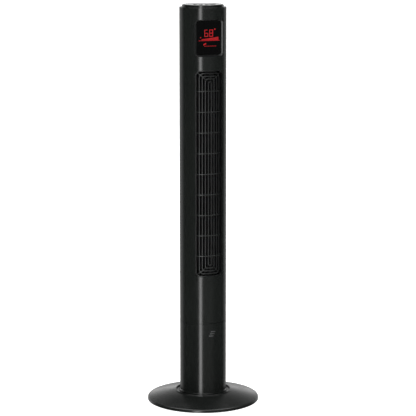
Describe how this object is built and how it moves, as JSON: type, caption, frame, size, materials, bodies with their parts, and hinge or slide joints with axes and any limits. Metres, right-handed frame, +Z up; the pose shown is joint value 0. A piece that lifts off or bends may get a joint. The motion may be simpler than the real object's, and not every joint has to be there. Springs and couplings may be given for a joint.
{
  "type": "tower fan",
  "caption": "Slim oscillating tower fan: round column on a disc base, looped outlet grille, digital display, top keys and a cross-flow wheel.",
  "frame": {"origin": "on the floor at the column's axis, the middle of the base", "axes": "+Z up the column; the air outlet and display face -Y; +X is to the right as seen from the front"},
  "size_m": [0.337, 0.337, 1.2],
  "materials": {
    "housing": "satin-gloss black moulding",
    "base_shell": "satin-gloss black moulding",
    "grille": "satin black moulding",
    "cap": "gloss black moulding",
    "control_panel": "smooth gloss black",
    "button": "satin black with a pale printed symbol",
    "window": "smoked gloss acrylic",
    "lit_mark": "red light guide, lit",
    "badge": "bright silver inlay",
    "inner_plastic": "dark moulded plastic",
    "nylon": "natural nylon",
    "rubber": "matt black",
    "steel": "zinc-plated",
    "ball_steel": "polished",
    "bronze": "sintered bronze",
    "motor_case": "cast, satin",
    "lamination": "stacked sheet, varnished",
    "copper": "varnished copper wire",
    "weight": "rough cast",
    "circuit_board": "solder mask with components",
    "capacitor": "pale moulded case",
    "cable": "black sleeving"
  },
  "bodies": {
    "base": {"base_cover": "base_shell", "base_plate": "inner_plastic", "base_weight": "weight", "rubber_feet": "rubber", "base_screws": "steel", "bearing_hub": "inner_plastic", "lower_race": "steel", "swing_gear": "nylon", "pivot_spindle": "steel", "pivot_washer": "steel", "pivot_screw": "steel"},
    "bearing_cage": {"ball_cage": "nylon", "bearing_balls": "ball_steel"},
    "column": {"column_foot": "base_shell", "upper_race": "steel", "lower_housing": "housing", "housing_screws": "steel", "swing_motor": "motor_case", "cord_gland": "rubber", "joining_ring": "inner_plastic", "front_shell": "housing", "rear_shell": "housing", "shell_screws": "steel", "front_grille": "grille", "intake_grille": "grille", "volute": "inner_plastic", "vortex_wall": "inner_plastic", "duct_base_plate": "inner_plastic", "duct_top_plate": "inner_plastic", "bearing_bushes": "bronze", "bearing_grommet": "rubber", "motor_lower_bell": "motor_case", "motor_upper_bell": "motor_case", "motor_stator": "lamination", "motor_windings": "copper", "motor_bracket": "steel", "motor_dampers": "rubber", "run_capacitor": "capacitor", "wiring_harness": "cable", "display_bezel": "housing", "display_window": "window", "display_segments": "lit_mark", "display_board": "circuit_board", "top_deck": "housing", "top_cap": "cap", "control_panel": "control_panel", "control_board": "circuit_board", "tact_switches": "inner_plastic", "badge": "badge", "carry_handle": "inner_plastic"},
    "pinion": {"swing_pinion": "nylon"},
    "fan_wheel": {"impeller": "inner_plastic", "motor_shaft": "steel", "motor_rotor": "lamination", "stub_shaft": "steel"},
    "power_key": {"power_button": "button"},
    "speed_key": {"speed_button": "button"},
    "mode_key": {"mode_button": "button"},
    "timer_key": {"timer_button": "button"},
    "swing_key": {"swing_button": "button"}
  },
  "joints": [
    {"name": "column_swing", "type": "hinge", "parent": "base", "child": "column", "pos_m": [0, 0, 0.028], "axis": [0, 0, 1], "range_deg": [-35, 35]},
    {"name": "cage_roll", "type": "hinge", "parent": "base", "child": "bearing_cage", "pos_m": [0, 0, 0.0203], "axis": [0, 0, 1], "range_deg": [-18, 18]},
    {"name": "pinion_spin", "type": "hinge", "parent": "column", "child": "pinion", "pos_m": [0, 0.03, 0.02], "axis": [0, 0, 1], "range_deg": [-106, 106]},
    {"name": "fan_spin", "type": "hinge", "parent": "column", "child": "fan_wheel", "pos_m": [-0.004, 0.006, 0.3], "axis": [0, 0, 1], "continuous": true},
    {"name": "power_press", "type": "slide", "parent": "column", "child": "power_key", "axis": [0, 0, -1], "range_m": [0, 0.0008], "stiffness_N_per_m": 500, "springref_m": -0.0004},
    {"name": "speed_press", "type": "slide", "parent": "column", "child": "speed_key", "axis": [0, 0, -1], "range_m": [0, 0.0008], "stiffness_N_per_m": 500, "springref_m": -0.0004},
    {"name": "mode_press", "type": "slide", "parent": "column", "child": "mode_key", "axis": [0, 0, -1], "range_m": [0, 0.0008], "stiffness_N_per_m": 500, "springref_m": -0.0004},
    {"name": "timer_press", "type": "slide", "parent": "column", "child": "timer_key", "axis": [0, 0, -1], "range_m": [0, 0.0008], "stiffness_N_per_m": 500, "springref_m": -0.0004},
    {"name": "swing_press", "type": "slide", "parent": "column", "child": "swing_key", "axis": [0, 0, -1], "range_m": [0, 0.0008], "stiffness_N_per_m": 500, "springref_m": -0.0004}
  ],
  "couplings": [
    {"joint": "pinion_spin", "follows": "column_swing", "ratio": 3},
    {"joint": "cage_roll", "follows": "column_swing", "ratio": 0.5}
  ]
}
